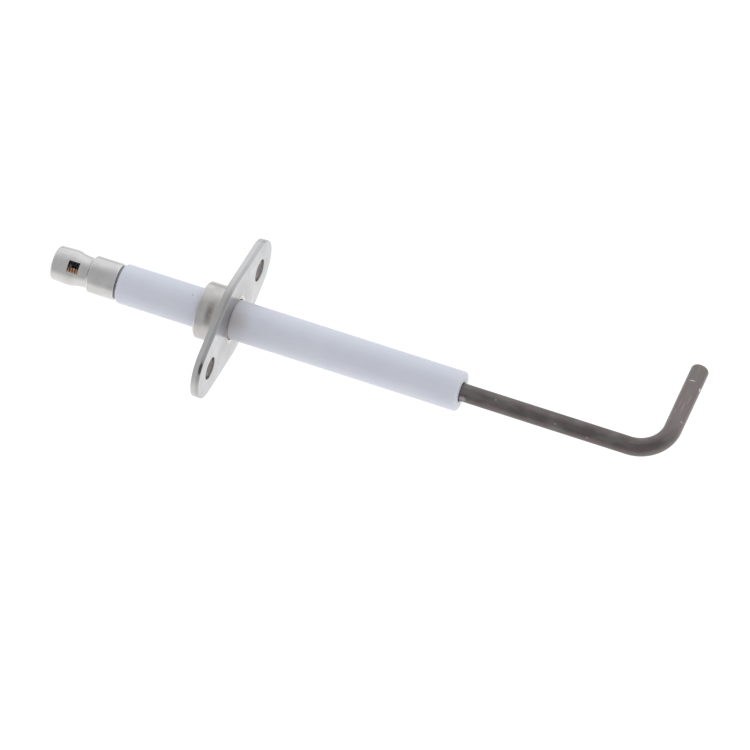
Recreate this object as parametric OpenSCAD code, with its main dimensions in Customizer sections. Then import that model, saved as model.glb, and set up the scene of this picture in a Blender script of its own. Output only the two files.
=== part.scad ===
// Flame sensing probe for a boiler or burner.
// An oxidised resistance-alloy rod runs through a white alumina tube. A turned collar,
// staked into an oval two-hole flange, holds the tube, and a snap terminal closes the rear.
// Frame: origin on the probe's axis at the flange's front (seating) face, +X towards the
// flame, +Y along the line of the two screw holes and of the bent tip, +Z up.

/* [Flange] */
// Distance between the two screw holes
hole_pitch = 22.2; // [21:0.1:30]
// Diameter of each screw hole
hole_d = 4; // [3.2:0.1:4.8]
// Diameter of the outline round the probe
flange_mid_d = 16.4; // [14:0.2:20]
// Diameter of the outline round each screw hole
flange_end_d = 10.8; // [9:0.2:12]
// Thickness of the sheet
flange_t = 1.5; // [1:0.1:2.5]

/* [Collar] */
// Outer diameter behind the flange
collar_d = 10.2; // [9.4:0.1:12]
// Length behind the flange
collar_len = 4.5; // [3:0.1:12]
// Outer diameter of the rolled lip on the flange's front
lip_d = 8.5; // [8.4:0.05:8.8]
// Height of the rolled lip above the flange's front
lip_proud = 0.1; // [0.1:0.05:0.6]

/* [Insulator] */
// Outer diameter of the alumina tube
ceramic_d = 7.1; // [7:0.05:7.2]
// Length in front of the flange
ceramic_front = 41.8; // [20:0.2:80]
// Length behind the flange's front face
ceramic_rear = 21.2; // [16:0.2:40]

/* [Sensing rod] */
// Diameter of the rod
rod_d = 3.2; // [3.1:0.1:3.4]
// Flange's front face to the middle of the bent leg
rod_reach = 78; // [60:1:140]
// Radius of the bend, at the rod's middle
bend_r = 5.8; // [4:0.2:8]
// Probe's axis to the end of the bent leg
tip_len = 19.4; // [12:0.2:40]

/* [Terminal] */
// Diameter of the snap head
head_d = 6.35; // [6.3:0.05:6.4]
// Diameter of the waist that the clip of the lead closes on
neck_d = 5.5; // [5.2:0.1:5.8]
// Diameter of the barrel next to the ceramic
base_d = 6.6; // [6.4:0.1:7]
// Overall length of the terminal
terminal_len = 12; // [11:0.1:13]
// Length of the window along the terminal
window_len = 1.9; // [1:0.1:2.2]
// Width of the window across the terminal
window_w = 2; // [1:0.1:2.4]
// Turn of the window about the axis, from straight up
window_turn = 33; // [0:1:359]

/* [Hidden] */
$fn = 96;
eps = 0.01;
cut_past = 1;

// Flange bore, lip and collar, all round the ceramic
cement_gap = 0.15;
collar_bore_r = ceramic_d / 2 + cement_gap;
spigot_r = 4.05;
lip_r = lip_d / 2;
lip_flare = lip_r - spigot_r;
collar_back = -flange_t - collar_len;
collar_round = 0.4;
cement_recess = 0.9;

// Ends and bore of the ceramic
ceramic_r = ceramic_d / 2;
ceramic_round_front = 0.45;
ceramic_round_rear = 0.7;
rod_r = rod_d / 2;
ceramic_bore_r = 1.8;
pocket_r = 2.3;
pocket_depth = 5;
pocket_fill = 4.4;

// Cement in the front mouth, a little below the ceramic's end face
front_seal_len = 8;
front_seal_recess = 0.15;

// M3 thread of the rod's rear end, drawn as rings of the same pitch
thread_pitch = 0.5;
thread_crest_r = 1.46;
thread_root_r = 1.2;
thread_play = 0.04;
stud_x = -ceramic_rear + pocket_depth;
stud_end = -28.5;
tip_round = 0.7;

// Terminal: its rear end is the probe's rear end
washer_t = 0.3;
washer_r = 2.95;
washer_bore_r = 1.6;
terminal_front = -ceramic_rear - washer_t;
terminal_back = terminal_front - terminal_len;
head_r = head_d / 2;
neck_r = neck_d / 2;
base_r = base_d / 2;
head_centre = terminal_back + 2.9;
head_land = 0.8;
head_end_r = 2.4;
head_corner = 0.7;
head_arc_r = 3.2;
head_arc_end = 66;
corner_start = 150;
corner_end = 110;
neck_start = terminal_back + 5.8;
neck_end = terminal_back + 6.6;
shoulder_len = 0.5;
spare_turns = 7;
tapped_end = stud_end - spare_turns * thread_pitch;
drill_cone = 0.9;
window_x = terminal_back + 4.05;

// Braze run in through the window: it fills one side of the window and of the bore below it
braze_top = 2.3;
braze_side = 0.1;
braze_r = thread_root_r;

// A solid of revolution about X from a list of [x, radius] points
module turned(points) {
    rotate([0, 90, 0])
        rotate_extrude()
            polygon([for (p = points) [p[1], p[0]]]);
}

// Points of a round of radius r about [x, y], from angle a0 to angle a1
function arc(x, y, r, a0, a1, steps = 6) =
    [for (i = [0:steps]) let (a = a0 + (a1 - a0) * i / steps) [x + r * cos(a), y + r * sin(a)]];

// Zigzag of a thread's rings from x0 forward to x1, between two radii
function thread_rings(x0, x1, root, crest) =
    [for (i = [0:floor((x1 - x0) / thread_pitch) - 1])
        each [[x0 + i * thread_pitch, root], [x0 + (i + 0.5) * thread_pitch, crest]]];

// Tangent points of the straight side between the middle circle and an end circle
function side_angle() = acos((flange_mid_d - flange_end_d) / hole_pitch);
function on_circle(y, r, a) = [y + r * cos(a), r * sin(a)];

module sensing_rod() {
    color("#5a504e") {
        // Straight part, with the rear thread
        turned(concat(
            [[stud_end, 0]],
            [[stud_end, thread_root_r]],
            thread_rings(stud_end, stud_x, thread_root_r, thread_crest_r),
            [[stud_x, thread_root_r], [stud_x, rod_r]],
            [[rod_reach - bend_r, rod_r], [rod_reach - bend_r, 0]]));
        // Bend, in the plane of the screw holes
        translate([rod_reach - bend_r, bend_r, 0])
            rotate([0, 0, -90])
                rotate_extrude(angle = 90)
                    translate([bend_r, 0]) circle(r = rod_r);
        // Bent leg with its rounded end
        translate([rod_reach, bend_r, 0])
            rotate([-90, 0, 0])
                rotate_extrude()
                    polygon(concat(
                        [[0, 0], [rod_r, 0]],
                        arc(rod_r - tip_round, tip_len - bend_r - tip_round, tip_round, 0, 90),
                        [[0, tip_len - bend_r]]));
    }
}

module insulator() {
    color("#eceef4")
        turned(concat(
            arc(-ceramic_rear + ceramic_round_rear, ceramic_r - ceramic_round_rear,
                ceramic_round_rear, 180, 90),
            arc(ceramic_front - ceramic_round_front, ceramic_r - ceramic_round_front,
                ceramic_round_front, 90, 0),
            [[ceramic_front, ceramic_bore_r], [-ceramic_rear + pocket_depth, ceramic_bore_r]],
            [[-ceramic_rear + pocket_depth, pocket_r], [-ceramic_rear, pocket_r]]));
}

module flange_plate() {
    a = side_angle();
    color("#c8c6c2")
        difference() {
            translate([-flange_t, 0, 0])
                rotate([90, 0, 90])
                    linear_extrude(flange_t) {
                        circle(d = flange_mid_d);
                        for (side = [-1, 1])
                            translate([side * hole_pitch / 2, 0]) circle(d = flange_end_d);
                        polygon([
                            on_circle(hole_pitch / 2, flange_end_d / 2, a),
                            on_circle(0, flange_mid_d / 2, a),
                            on_circle(0, flange_mid_d / 2, 180 - a),
                            on_circle(-hole_pitch / 2, flange_end_d / 2, 180 - a),
                            on_circle(-hole_pitch / 2, flange_end_d / 2, 180 + a),
                            on_circle(0, flange_mid_d / 2, 180 + a),
                            on_circle(0, flange_mid_d / 2, -a),
                            on_circle(hole_pitch / 2, flange_end_d / 2, -a)]);
                    }
            for (side = [-1, 1])
                translate([-flange_t - cut_past, side * hole_pitch / 2, 0])
                    rotate([0, 90, 0]) cylinder(d = hole_d, h = flange_t + 2 * cut_past);
            // Centre bore, opened at the front where the lip is rolled over
            turned([[-flange_t - cut_past, 0], [-flange_t - cut_past, spigot_r],
                    [-lip_flare, spigot_r], [0, lip_r], [cut_past, lip_r], [cut_past, 0]]);
        }
}

module collar() {
    color("#c2bfba")
        turned(concat(
            arc(collar_back + collar_round, collar_d / 2 - collar_round, collar_round, 180, 90),
            [[-flange_t, collar_d / 2], [-flange_t, spigot_r], [-lip_flare, spigot_r], [0, lip_r]],
            arc(lip_proud / 2, lip_r - lip_proud / 2, lip_proud / 2, 90, 0),
            [[lip_proud, collar_bore_r + lip_proud / 2], [lip_proud / 2, collar_bore_r]],
            [[collar_back + collar_round, collar_bore_r]],
            [[collar_back, collar_bore_r + collar_round / 2]]));
}

module collar_cement() {
    color("#8a8580")
        turned([[collar_back + collar_round, ceramic_r],
                [collar_back + collar_round, collar_bore_r],
                [-cement_recess, collar_bore_r], [-cement_recess, ceramic_r]]);
}

module front_cement() {
    seal_end = ceramic_front - front_seal_recess;
    color("#d8d4ca")
        turned([[seal_end, rod_r], [seal_end, ceramic_bore_r],
                [seal_end - front_seal_len, ceramic_bore_r], [seal_end - front_seal_len, rod_r]]);
}

module rear_cement() {
    fill_end = stud_x - pocket_fill;
    color("#d8d4ca")
        turned([[stud_x, thread_crest_r + thread_play], [stud_x, pocket_r],
                [fill_end, pocket_r], [fill_end, thread_crest_r + thread_play]]);
}

module terminal_washer() {
    color("#4c4a4a")
        turned([[terminal_front, washer_bore_r], [terminal_front, washer_r],
                [terminal_front + washer_t, washer_r], [terminal_front + washer_t, washer_bore_r]]);
}

module terminal_cap() {
    color("#c9c6c0")
        difference() {
            turned(concat(
                [[terminal_back, 0]],
                [[terminal_back, head_end_r]],
                arc(terminal_back + head_corner, head_end_r, head_corner, corner_start, corner_end),
                [[head_centre - head_land / 2, head_r]],
                arc(head_centre + head_land / 2, head_r - head_arc_r, head_arc_r,
                    90, head_arc_end, 8),
                [[neck_start, neck_r], [neck_end, neck_r]],
                [[neck_end + shoulder_len, base_r], [terminal_front, base_r], [terminal_front, 0]]));
            // Tapped bore: the thread's rings are in step with those of the rod
            turned(concat(
                [[tapped_end - drill_cone, 0]],
                thread_rings(tapped_end, terminal_front,
                             thread_root_r + thread_play, thread_crest_r + thread_play),
                [[terminal_front + eps, thread_crest_r + thread_play], [terminal_front + eps, 0]]));
            rotate([window_turn, 0, 0])
                translate([window_x - window_len / 2, -window_w / 2, 0])
                    cube([window_len, window_w, head_d]);
        }
}

module terminal_braze() {
    color("#b5713c")
        rotate([window_turn, 0, 0])
            translate([window_x - window_len / 2, 0, 0]) {
                translate([0, -window_w / 2, 0])
                    cube([window_len, window_w / 2 - braze_side, braze_top]);
                intersection() {
                    rotate([0, 90, 0]) cylinder(r = braze_r, h = window_len);
                    translate([0, -window_w, -head_d])
                        cube([window_len, window_w - braze_side, head_d + eps]);
                }
            }
}

sensing_rod();
insulator();
flange_plate();
collar();
collar_cement();
front_cement();
rear_cement();
terminal_washer();
terminal_cap();
terminal_braze();
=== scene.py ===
import math

import bmesh
import bpy
from mathutils import Matrix, Vector, noise


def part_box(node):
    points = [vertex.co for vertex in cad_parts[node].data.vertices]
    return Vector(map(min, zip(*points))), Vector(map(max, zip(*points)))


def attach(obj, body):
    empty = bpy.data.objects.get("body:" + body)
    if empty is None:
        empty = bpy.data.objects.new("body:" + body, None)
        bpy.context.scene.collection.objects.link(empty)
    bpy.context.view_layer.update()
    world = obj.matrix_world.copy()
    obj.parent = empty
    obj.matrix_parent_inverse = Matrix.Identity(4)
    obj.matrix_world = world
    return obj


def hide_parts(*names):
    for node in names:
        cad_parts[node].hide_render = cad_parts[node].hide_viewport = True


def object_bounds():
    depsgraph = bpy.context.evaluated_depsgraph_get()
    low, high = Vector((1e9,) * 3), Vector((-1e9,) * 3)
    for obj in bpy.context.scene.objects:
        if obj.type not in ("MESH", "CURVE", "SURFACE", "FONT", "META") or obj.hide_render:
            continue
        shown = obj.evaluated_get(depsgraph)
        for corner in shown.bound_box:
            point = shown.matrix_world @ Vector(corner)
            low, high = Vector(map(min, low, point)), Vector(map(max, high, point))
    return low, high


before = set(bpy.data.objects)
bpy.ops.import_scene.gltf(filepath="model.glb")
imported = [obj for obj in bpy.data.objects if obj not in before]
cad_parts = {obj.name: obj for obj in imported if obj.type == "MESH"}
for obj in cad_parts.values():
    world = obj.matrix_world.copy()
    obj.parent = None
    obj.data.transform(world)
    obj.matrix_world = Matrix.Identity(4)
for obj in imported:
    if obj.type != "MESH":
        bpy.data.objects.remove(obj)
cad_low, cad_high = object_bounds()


# ---------------------------------------------------------------- camera and light table
# The probe lies on a frosted light table in a pale room. The table looks white and casts no
# shadow, the room is dimmer on the near side, and a wide softbox stands behind the probe.

mm = 0.001
picture_width = 128.2 * mm
lens_length = 400
sensor_width = 36
farthest_seen = 20
camera_distance = picture_width * lens_length / sensor_width
turn_round_probe = math.radians(23.2)
height_above_table = math.radians(54.7)
camera_roll = math.radians(1.5)
aim_right = 2.05 * mm
aim_up = -3.80 * mm

camera_back = Vector((math.sin(turn_round_probe) * math.cos(height_above_table),
                      -math.cos(turn_round_probe) * math.cos(height_above_table),
                      math.sin(height_above_table)))
level_right = Vector((math.cos(turn_round_probe), math.sin(turn_round_probe), 0))
level_up = camera_back.cross(level_right)
camera_right = level_right * math.cos(camera_roll) - level_up * math.sin(camera_roll)
camera_up = level_up * math.cos(camera_roll) + level_right * math.sin(camera_roll)
aim_point = (cad_low + cad_high) / 2 + camera_right * aim_right + camera_up * aim_up

camera_data = bpy.data.cameras.new("camera")
camera_data.lens = lens_length
camera_data.sensor_width = sensor_width
camera_data.clip_end = farthest_seen
camera = bpy.data.objects.new("camera", camera_data)
bpy.context.scene.collection.objects.link(camera)
camera_turn = Matrix((camera_right, camera_up, camera_back)).transposed()
camera.matrix_world = Matrix.Translation(aim_point + camera_back * camera_distance) @ camera_turn.to_4x4()
bpy.context.scene.camera = camera
bpy.context.scene.view_settings.view_transform = "Standard"


def put(tree, kind, inputs=None, **settings):
    """Adds a node; an input is given a value, or a socket that it is linked to."""
    node = tree.nodes.new(kind)
    for name, value in settings.items():
        setattr(node, name, value)
    for key, value in (inputs or {}).items():
        if isinstance(value, bpy.types.NodeSocket):
            tree.links.new(value, node.inputs[key])
        else:
            node.inputs[key].default_value = value
    return node


def maths(tree, operation, *values):
    """The output of a Math node."""
    return put(tree, "ShaderNodeMath", dict(enumerate(values)), operation=operation).outputs[0]


def new_material(name, **shader_values):
    """A material with a Principled shader whose uniform values are set on its own sockets."""
    material = bpy.data.materials.new(name)
    material.use_nodes = True
    tree = material.node_tree
    shader = tree.nodes["Principled BSDF"]
    for key, value in shader_values.items():
        shader.inputs[key.replace("_", " ")].default_value = value
    return material, tree, shader


table_size = 3.0
table_white = 1.05
glow_near = 0.99
glow_far = 0.57
glow_reach = 0.07
glow_middle = 0.005
table_colour = (0.12, 0.12, 0.125, 1)
bpy.ops.mesh.primitive_grid_add(x_subdivisions=2, y_subdivisions=2, size=table_size)
light_table = bpy.context.object
light_table.name = "light_table"
light_table.data.transform(Matrix.Translation((0, 0, cad_low.z)))
glow_material, glow_tree, glow_shader = new_material("frosted_table", Roughness=0.9)
glow_shader.inputs["Base Color"].default_value = table_colour
glow_shader.inputs["Specular IOR Level"].default_value = 0.0
glow_shader.inputs["Emission Color"].default_value = (1, 1, 1, 1)
table_place = put(glow_tree, "ShaderNodeSeparateXYZ",
                  {0: glow_tree.nodes.new("ShaderNodeTexCoord").outputs["Object"]})
probe_middle = (cad_low.x + cad_high.x) / 2
probe_half = (cad_high.x - cad_low.x) / 2
past_middle = maths(glow_tree, "SUBTRACT", table_place.outputs[0], probe_middle)
past_end = maths(glow_tree, "SUBTRACT", maths(glow_tree, "ABSOLUTE", past_middle), probe_half)
beyond = maths(glow_tree, "MAXIMUM", past_end, 0.0)
behind = maths(glow_tree, "SUBTRACT", table_place.outputs[1], glow_middle)
offset = put(glow_tree, "ShaderNodeCombineXYZ", {0: beyond, 1: behind}).outputs[0]
from_probe = put(glow_tree, "ShaderNodeVectorMath", {0: offset}, operation="LENGTH").outputs["Value"]
glow = put(glow_tree, "ShaderNodeMapRange", {"Value": from_probe, "From Min": 0.0, "From Max": glow_reach,
                                             "To Min": glow_near, "To Max": glow_far}).outputs[0]
seen = glow_tree.nodes.new("ShaderNodeLightPath").outputs["Is Camera Ray"]
strength = put(glow_tree, "ShaderNodeMix", {0: seen, 2: glow, 3: table_white}, data_type="FLOAT").outputs[0]
glow_tree.links.new(strength, glow_shader.inputs["Emission Strength"])
light_table.data.materials.append(glow_material)

near_room = 0.55
far_room = 0.96
room_dim_to = -0.25
room_bright_from = 0.95
room_tint = (0.955, 0.972, 1.0, 1)
room = bpy.data.worlds.new("pale_room")
room.use_nodes = True
room_tree = room.node_tree
room_direction = put(room_tree, "ShaderNodeSeparateXYZ",
                     {0: room_tree.nodes.new("ShaderNodeTexCoord").outputs["Generated"]})
room_light = put(room_tree, "ShaderNodeMapRange",
                 {"Value": room_direction.outputs[1], "From Min": room_dim_to, "From Max": room_bright_from,
                  "To Min": near_room, "To Max": far_room}, interpolation_type="SMOOTHSTEP")
background = room_tree.nodes["Background"]
background.inputs["Color"].default_value = room_tint
room_tree.links.new(room_light.outputs[0], background.inputs["Strength"])
bpy.context.scene.world = room


def softbox(name, direction, distance, size, power):
    """A large square area light that faces the probe and isn't seen itself."""
    light = bpy.data.lights.new(name, "AREA")
    light.shape = "SQUARE"
    light.size = size
    light.energy = power
    lamp = bpy.data.objects.new(name, light)
    bpy.context.scene.collection.objects.link(lamp)
    outward = Vector(direction).normalized()
    lamp.location = aim_point + outward * distance
    lamp.rotation_mode = "QUATERNION"
    lamp.rotation_quaternion = outward.to_track_quat("Z", "Y")
    lamp.visible_camera = False


softbox("back_softbox", direction=(0.10, 0.86, 0.50), distance=0.80, size=0.90, power=0.15)


# ---------------------------------------------------------------- insulator
# Extruded alumina tube, fired white and left unglazed, with its end edges tumbled round.
# The rod is cemented into it, and the collar is cemented round it.

def turned(name, profile, sides, materials, closed=False, angles_at=None):
    """Turns (along, radius, edge, material number) points about the X axis into one mesh.

    The material number is that of the band from a point to the next one, and edge, from 0
    to 1, marks where an edge is worn. angles_at(radius) may place the points of each ring.
    """
    bm = bmesh.new()
    edge_mark = bm.verts.layers.float.new("edge")
    rings = []
    for along, radius, edge, _ in profile:
        if radius <= 0:
            ring = [bm.verts.new((along, 0, 0))]
        elif angles_at:
            ring = [bm.verts.new((along, radius * math.cos(a), radius * math.sin(a)))
                    for a in angles_at(radius)]
        else:
            ring = [bm.verts.new((along, radius * math.cos(a), radius * math.sin(a)))
                    for a in (2 * math.pi * i / sides for i in range(sides))]
        for vertex in ring:
            vertex[edge_mark] = edge
        rings.append(ring)
    pairs = list(zip(rings, rings[1:]))
    if closed:
        pairs.append((rings[-1], rings[0]))
    for number, (first, second) in enumerate(pairs):
        for i in range(sides):
            j = (i + 1) % sides
            corners = [first[i % len(first)], first[j % len(first)],
                       second[j % len(second)], second[i % len(second)]]
            corners = list(dict.fromkeys(corners))
            if len(corners) > 2:
                face = bm.faces.new(corners)
                face.material_index = profile[number][3]
                face.smooth = True
    bmesh.ops.recalc_face_normals(bm, faces=bm.faces)
    return finish_mesh(name, bm, materials)


def finish_mesh(name, bm, materials, sharp_angle=math.radians(34)):
    """Turns a bmesh into an object with its materials and sharp edges."""
    mesh = bpy.data.meshes.new(name)
    bm.to_mesh(mesh)
    bm.free()
    mesh.set_sharp_from_angle(angle=sharp_angle)
    for material in materials:
        mesh.materials.append(material)
    piece = bpy.data.objects.new(name, mesh)
    bpy.context.scene.collection.objects.link(piece)
    return piece


def rounding(along, radius, size, start, end, edge=1.0, steps=6):
    """Profile points of a rounded edge about its centre, from one angle to another."""
    points = []
    for i in range(steps + 1):
        angle = math.radians(start + (end - start) * i / steps)
        points.append((along + size * math.cos(angle), radius + size * math.sin(angle), edge, 0))
    return points


def run(start, end, count, shape):
    """Profile points along a straight stretch, moved outward by shape(along)."""
    points = []
    for i in range(count + 1):
        t = i / count
        along = start[0] + (end[0] - start[0]) * t
        radius = start[1] + (end[1] - start[1]) * t
        points.append((along, radius + shape(along), 0, 0))
    return points


def new_group(name, inputs, outputs):
    """A shader node group with named sockets: {name: (kind, value)} in, {name: kind} out."""
    group = bpy.data.node_groups.new(name, "ShaderNodeTree")
    for label, (kind, value) in inputs.items():
        socket = group.interface.new_socket(label, in_out="INPUT", socket_type="NodeSocket" + kind)
        if value is not None:
            socket.default_value = value
    for label, kind in outputs.items():
        group.interface.new_socket(label, in_out="OUTPUT", socket_type="NodeSocket" + kind)
    return group, group.nodes.new("NodeGroupInput").outputs, group.nodes.new("NodeGroupOutput").inputs


def use_group(tree, group, vector, **values):
    """Places a node group on a vector; an underscore in a value's name stands for a space."""
    inputs = {"Vector": vector} | {key.replace("_", " "): value for key, value in values.items()}
    return put(tree, "ShaderNodeGroup", inputs, node_tree=group).outputs


def spread(tree, value, low, high, to_low=0.0, to_high=1.0):
    """Maps low..high onto to_low..to_high, softly and clamped."""
    node = put(tree, "ShaderNodeMapRange",
               {"Value": value, "From Min": low, "From Max": high, "To Min": to_low, "To Max": to_high},
               interpolation_type="SMOOTHSTEP")
    return node.outputs["Result"]


def blend(tree, share, first, second):
    """Mixes two colours, each a value or a socket."""
    node = put(tree, "ShaderNodeMix", {0: share, 6: first, 7: second}, data_type="RGBA")
    return node.outputs[2]


def laid_over(tree, colour, mask, strength, tint):
    """A colour with a tint laid over it where a mask is, at a strength from 0 to 1."""
    return blend(tree, maths(tree, "MULTIPLY", mask, strength), colour, tint)


def raised(tree, value, mask, amount):
    """A value raised by an amount where a mask is."""
    return maths(tree, "ADD", value, maths(tree, "MULTIPLY", mask, amount))


def stored(tree, name):
    """A mask that is stored on the mesh's vertices."""
    return put(tree, "ShaderNodeAttribute", attribute_name=name).outputs["Fac"]


def in_millimetres(tree, source=None):
    """The piece's own Object coordinates, or another vector, in millimetres."""
    source = source or tree.nodes.new("ShaderNodeTexCoord").outputs["Object"]
    return put(tree, "ShaderNodeVectorMath", {0: source, "Scale": 1000.0}, operation="SCALE").outputs[0]


def stretched(tree, vector, x, y, z, shift=0.0):
    """A vector scaled by axis, so that a pattern on it is drawn out, and shifted."""
    scaled = put(tree, "ShaderNodeVectorMath", {0: vector, 1: (x, y, z), 2: (shift, shift, shift)},
                 operation="MULTIPLY_ADD")
    return scaled.outputs[0]


def noise_of(tree, vector, scale, detail=3.0, roughness=0.55):
    """The value of a noise on a vector in millimetres."""
    node = put(tree, "ShaderNodeTexNoise",
               {"Vector": vector, "Scale": scale, "Detail": detail, "Roughness": roughness})
    return node.outputs["Factor" if "Factor" in node.outputs else "Fac"]


def near_ring(tree, along, centre, far, close, strength=1.0):
    """A mask round one place on the axis: full within close of it, and none beyond far."""
    apart = maths(tree, "ABSOLUTE", maths(tree, "SUBTRACT", along, centre))
    return spread(tree, apart, far, close, 0.0, strength)


def finish_shader(tree, shader, colour, roughness=None, height=None, strength=0.5, distance=mm):
    """Feeds a material's shader its colour, its roughness and its bump height."""
    tree.links.new(colour, shader.inputs["Base Color"])
    if roughness is not None:
        tree.links.new(roughness, shader.inputs["Roughness"])
    if height is not None:
        bump = put(tree, "ShaderNodeBump", {"Height": height, "Strength": strength, "Distance": distance})
        tree.links.new(bump.outputs[0], shader.inputs["Normal"])


# Uneven finish: soft patches of a chosen size, with finer ones inside them
uneven, given, result = new_group(
    "uneven_finish",
    {"Vector": ("Vector", None), "Patch Size": ("Float", 4.0), "Low": ("Float", 0.35),
     "High": ("Float", 0.65), "Shift": ("Float", 0.0)},
    {"Mask": "Float"})
moved = put(uneven, "ShaderNodeVectorMath", {0: given["Vector"], 1: given["Shift"]}, operation="ADD")
patch_scale = maths(uneven, "DIVIDE", 1.0, given["Patch Size"])
patch = put(uneven, "ShaderNodeTexNoise", {"Vector": moved.outputs[0], "Scale": patch_scale, "Detail": 4.0})
uneven.links.new(spread(uneven, patch.outputs[0], given["Low"], given["High"]), result["Mask"])

# Specks: small round dots, in a share of the cells of a random pattern
specks, given, result = new_group(
    "specks",
    {"Vector": ("Vector", None), "Spacing": ("Float", 2.0), "Size": ("Float", 0.1), "Share": ("Float", 0.3)},
    {"Mask": "Float"})
cell = put(specks, "ShaderNodeTexVoronoi", {"Vector": given["Vector"],
                                            "Scale": maths(specks, "DIVIDE", 1.0, given["Spacing"])})
cell_colour = put(specks, "ShaderNodeSeparateColor", {0: cell.outputs["Color"]})
chosen = maths(specks, "LESS_THAN", cell_colour.outputs[0], given["Share"])
own_size = maths(specks, "MULTIPLY", maths(specks, "DIVIDE", given["Size"], given["Spacing"]),
                 maths(specks, "ADD", 0.35, cell_colour.outputs[1]))
rim = maths(specks, "MULTIPLY", own_size, 0.6)
dot = spread(specks, cell.outputs["Distance"], own_size, rim)
specks.links.new(maths(specks, "MULTIPLY", dot, chosen), result["Mask"])

# Drawn lines: fine marks drawn out along X, as dies, brushes and rubbing leave them
drawn_lines, given, result = new_group(
    "drawn_lines",
    {"Vector": ("Vector", None), "Line Length": ("Float", 10.0), "Line Width": ("Float", 0.1),
     "Low": ("Float", 0.5), "High": ("Float", 0.7)},
    {"Mask": "Float", "Height": "Float"})
across = maths(drawn_lines, "DIVIDE", 1.0, given["Line Width"])
along_line = maths(drawn_lines, "DIVIDE", 1.0, given["Line Length"])
line_scale = put(drawn_lines, "ShaderNodeCombineXYZ", {0: along_line, 1: across, 2: across}).outputs[0]
line_vector = put(drawn_lines, "ShaderNodeVectorMath", {0: given["Vector"], 1: line_scale},
                  operation="MULTIPLY").outputs[0]
lines = put(drawn_lines, "ShaderNodeTexNoise", {"Vector": line_vector, "Scale": 1.0, "Detail": 2.0})
drawn_lines.links.new(spread(drawn_lines, lines.outputs[0], given["Low"], given["High"]), result["Mask"])
drawn_lines.links.new(lines.outputs[0], result["Height"])

# Single mark: one spot, smear or scratch at a place on a piece, with a ragged outline
single_mark, given, result = new_group(
    "single_mark",
    {"Vector": ("Vector", None), "Place": ("Vector", None), "Half Size": ("Vector", (1, 1, 1)),
     "Softness": ("Float", 0.4), "Raggedness": ("Float", 0.4)},
    {"Mask": "Float"})
away = put(single_mark, "ShaderNodeVectorMath", {0: given["Vector"], 1: given["Place"]},
           operation="SUBTRACT").outputs[0]
in_sizes = put(single_mark, "ShaderNodeVectorMath", {0: away, 1: given["Half Size"]},
               operation="DIVIDE").outputs[0]
reach_out = put(single_mark, "ShaderNodeVectorMath", {0: in_sizes}, operation="LENGTH").outputs["Value"]
ragged = put(single_mark, "ShaderNodeTexNoise",
             {"Vector": given["Vector"], "Scale": 3.5, "Detail": 4.0}).outputs[0]
ragged_reach = raised(single_mark, reach_out, maths(single_mark, "SUBTRACT", ragged, 0.5),
                      given["Raggedness"])
inner = maths(single_mark, "SUBTRACT", 1.0, given["Softness"])
single_mark.links.new(spread(single_mark, ragged_reach, 1.0, inner), result["Mask"])

# Edge wear: the marked edges of a piece, broken up by a fine noise
edge_wear, given, result = new_group(
    "edge_wear",
    {"Vector": ("Vector", None), "Raggedness": ("Float", 0.4)},
    {"Mask": "Float"})
grit = put(edge_wear, "ShaderNodeTexNoise",
           {"Vector": given["Vector"], "Scale": 2.2, "Detail": 5.0}).outputs[0]
broken = maths(edge_wear, "SUBTRACT", stored(edge_wear, "edge"),
               maths(edge_wear, "MULTIPLY", grit, given["Raggedness"]))
edge_wear.links.new(spread(edge_wear, broken, 0.1, 0.8), result["Mask"])

alumina_white = (0.860, 0.882, 0.985, 1)
alumina_bright = (0.895, 0.915, 0.995, 1)
extrusion_grey = (0.78, 0.80, 0.87, 1)
flange_shade_brown = (0.70, 0.665, 0.64, 1)
near_side_shadow_brown = (0.66, 0.60, 0.575, 1)
metal_rub = (0.42, 0.42, 0.43, 1)
worn_white = (0.93, 0.93, 0.95, 1)
inclusion_black = (0.12, 0.11, 0.11, 1)


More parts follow.
